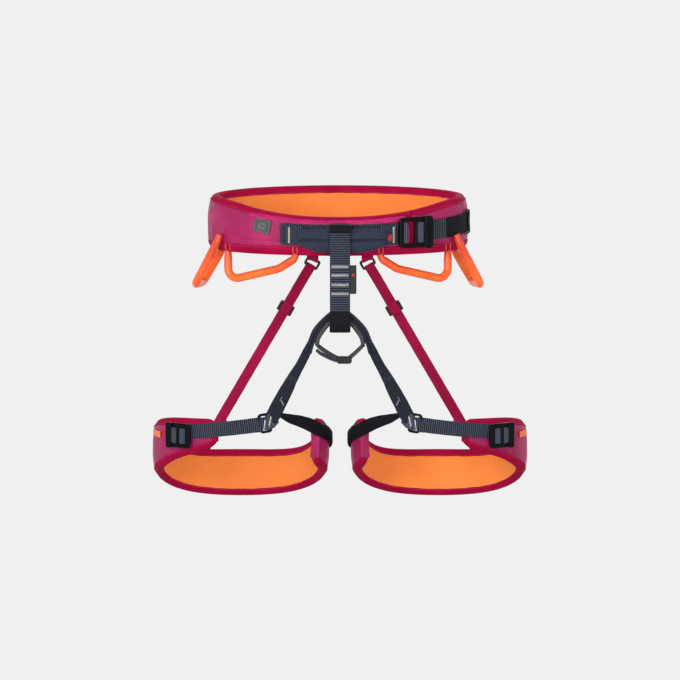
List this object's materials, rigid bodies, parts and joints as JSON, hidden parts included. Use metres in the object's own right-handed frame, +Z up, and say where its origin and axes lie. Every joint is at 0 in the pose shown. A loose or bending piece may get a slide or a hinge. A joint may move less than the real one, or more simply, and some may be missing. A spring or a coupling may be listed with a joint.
{
  "type": "climbing harness",
  "caption": "Sit harness with a padded waist belt, double-frame waist buckle, belay loop, stiff gear loops, elastic rear risers and padded adjustable leg loops.",
  "frame": {"origin": "centre of the waist belt, at mid-height of its front webbing", "axes": "+Z up, -Y the front with the belay loop, +X to the right seen from the front"},
  "size_m": [0.468, 0.2477, 0.3913],
  "materials": {
    "shell_fabric": "satin woven, magenta",
    "binding_tape": "matt knitted tape, crimson",
    "lining_fabric": "matt brushed fabric, orange",
    "foam": "closed-cell foam, unseen",
    "dark_webbing": "ribbed woven webbing, near black",
    "navy_sleeve": "padded woven sleeve, dark navy",
    "grey_protector": "dense woven protector, grey",
    "riser_elastic": "ribbed elastic webbing, crimson",
    "thread": "bartack thread, pale",
    "label_grey": "moulded label, blank",
    "label_black": "woven label, blank",
    "buckle_metal": "anodised, near black",
    "ring_metal": "dark plated wire",
    "black_plastic": "moulded, fine grain",
    "gear_loop_orange": "moulded tube, orange",
    "haul_cord": "braided, near black"
  },
  "bodies": {
    "waist": {"waist_outer_shell": "shell_fabric", "waist_foam_core": "foam", "waist_inner_lining": "lining_fabric", "waist_top_binding": "binding_tape", "waist_bottom_binding": "binding_tape", "waist_webbing": "dark_webbing", "waist_tail_webbing": "dark_webbing", "waist_tail_keeper": "black_plastic", "waist_label": "label_grey", "tie_in_webbing_ends": "dark_webbing", "tie_in_bartacks": "thread", "front_strap_left": "dark_webbing", "front_strap_right": "dark_webbing", "riser_rings": "black_plastic", "riser_tabs": "riser_elastic", "riser_straps": "riser_elastic", "haul_loop_anchor": "dark_webbing"},
    "belay": {"belay_loop": "dark_webbing", "belay_bartacks": "thread", "belay_label": "label_black", "tie_in_sleeve": "navy_sleeve", "tie_in_webbing_core": "dark_webbing", "lower_tie_in_arch": "dark_webbing", "arch_protector": "grey_protector", "bridge_strap": "grey_protector", "bridge_slider": "black_plastic"},
    "waist_buckle": {"waist_buckle_frame": "buckle_metal", "waist_buckle_bar": "buckle_metal"},
    "haul": {"haul_loop": "haul_cord"},
    "leg_left": {"leg_outer_shell_left": "shell_fabric", "leg_foam_core_left": "foam", "leg_inner_lining_left": "lining_fabric", "leg_top_binding_left": "binding_tape", "leg_bottom_binding_left": "binding_tape", "leg_webbing_left": "dark_webbing", "leg_ring_left": "ring_metal", "leg_junction_left": "dark_webbing", "leg_inner_strap_left": "dark_webbing", "leg_riser_tab_left": "riser_elastic"},
    "leg_buckle_left": {"leg_buckle_frame_left": "buckle_metal", "leg_buckle_bar_left": "buckle_metal"},
    "gear_front_left": {"gear_loop_front_left": "gear_loop_orange"},
    "gear_rear_left": {"gear_loop_rear_left": "gear_loop_orange"},
    "riser_slider_left": {"riser_slider_left": "black_plastic"},
    "leg_right": {"leg_outer_shell_right": "shell_fabric", "leg_foam_core_right": "foam", "leg_inner_lining_right": "lining_fabric", "leg_top_binding_right": "binding_tape", "leg_bottom_binding_right": "binding_tape", "leg_webbing_right": "dark_webbing", "leg_ring_right": "ring_metal", "leg_junction_right": "dark_webbing", "leg_inner_strap_right": "dark_webbing", "leg_riser_tab_right": "riser_elastic"},
    "leg_buckle_right": {"leg_buckle_frame_right": "buckle_metal", "leg_buckle_bar_right": "buckle_metal"},
    "gear_front_right": {"gear_loop_front_right": "gear_loop_orange"},
    "gear_rear_right": {"gear_loop_rear_right": "gear_loop_orange"},
    "riser_slider_right": {"riser_slider_right": "black_plastic"}
  },
  "joints": [
    {"name": "left_leg_swing", "type": "hinge", "parent": "waist", "child": "leg_left", "pos_m": [-0.124, 0, -0.1], "axis": [-1, 0, 0], "range_deg": [-8, 35]},
    {"name": "right_leg_swing", "type": "hinge", "parent": "waist", "child": "leg_right", "pos_m": [0.124, 0, -0.1], "axis": [-1, 0, 0], "range_deg": [-8, 35]},
    {"name": "belay_loop_swing", "type": "hinge", "parent": "waist", "child": "belay", "pos_m": [0, -0.118, 0.012], "axis": [-1, 0, 0], "range_deg": [0, 15]},
    {"name": "waist_buckle_tilt", "type": "hinge", "parent": "waist", "child": "waist_buckle", "pos_m": [0.07231, -0.0985, -0.0008], "axis": [0, 0, -1], "range_deg": [0, 25]},
    {"name": "left_leg_buckle_tilt", "type": "hinge", "parent": "leg_left", "child": "leg_buckle_left", "pos_m": [-0.21435, -0.05622, -0.2596], "axis": [0, 0, -1], "range_deg": [0, 25]},
    {"name": "right_leg_buckle_tilt", "type": "hinge", "parent": "leg_right", "child": "leg_buckle_right", "pos_m": [0.21435, -0.05622, -0.2596], "axis": [0, 0, 1], "range_deg": [0, 25]},
    {"name": "left_front_gear_loop_swing", "type": "hinge", "parent": "waist", "child": "gear_front_left", "pos_m": [-0.1394, -0.0445, -0.036], "axis": [-0.858, 0.5134, -0.0157], "range_deg": [0, 25]},
    {"name": "right_front_gear_loop_swing", "type": "hinge", "parent": "waist", "child": "gear_front_right", "pos_m": [0.1344, -0.0445, -0.036], "axis": [-0.858, -0.5134, 0.0157], "range_deg": [0, 25]},
    {"name": "left_rear_gear_loop_swing", "type": "hinge", "parent": "waist", "child": "gear_rear_left", "pos_m": [-0.1525, -0.0506, -0.015], "axis": [0.0387, 0.9597, -0.2782], "range_deg": [0, 25]},
    {"name": "right_rear_gear_loop_swing", "type": "hinge", "parent": "waist", "child": "gear_rear_right", "pos_m": [0.1475, -0.0506, -0.015], "axis": [0.0387, -0.9597, 0.2782], "range_deg": [0, 25]},
    {"name": "haul_loop_swing", "type": "hinge", "parent": "waist", "child": "haul", "pos_m": [-0.0025, 0.1112, -0.012], "axis": [1, 0, 0], "range_deg": [0, 60]},
    {"name": "left_riser_slider_slide", "type": "slide", "parent": "waist", "child": "riser_slider_left", "axis": [-0.5051, -0.071, -0.8601], "range_m": [-0.02, 0.02]},
    {"name": "right_riser_slider_slide", "type": "slide", "parent": "waist", "child": "riser_slider_right", "axis": [0.5051, -0.071, -0.8601], "range_m": [-0.02, 0.02]}
  ]
}
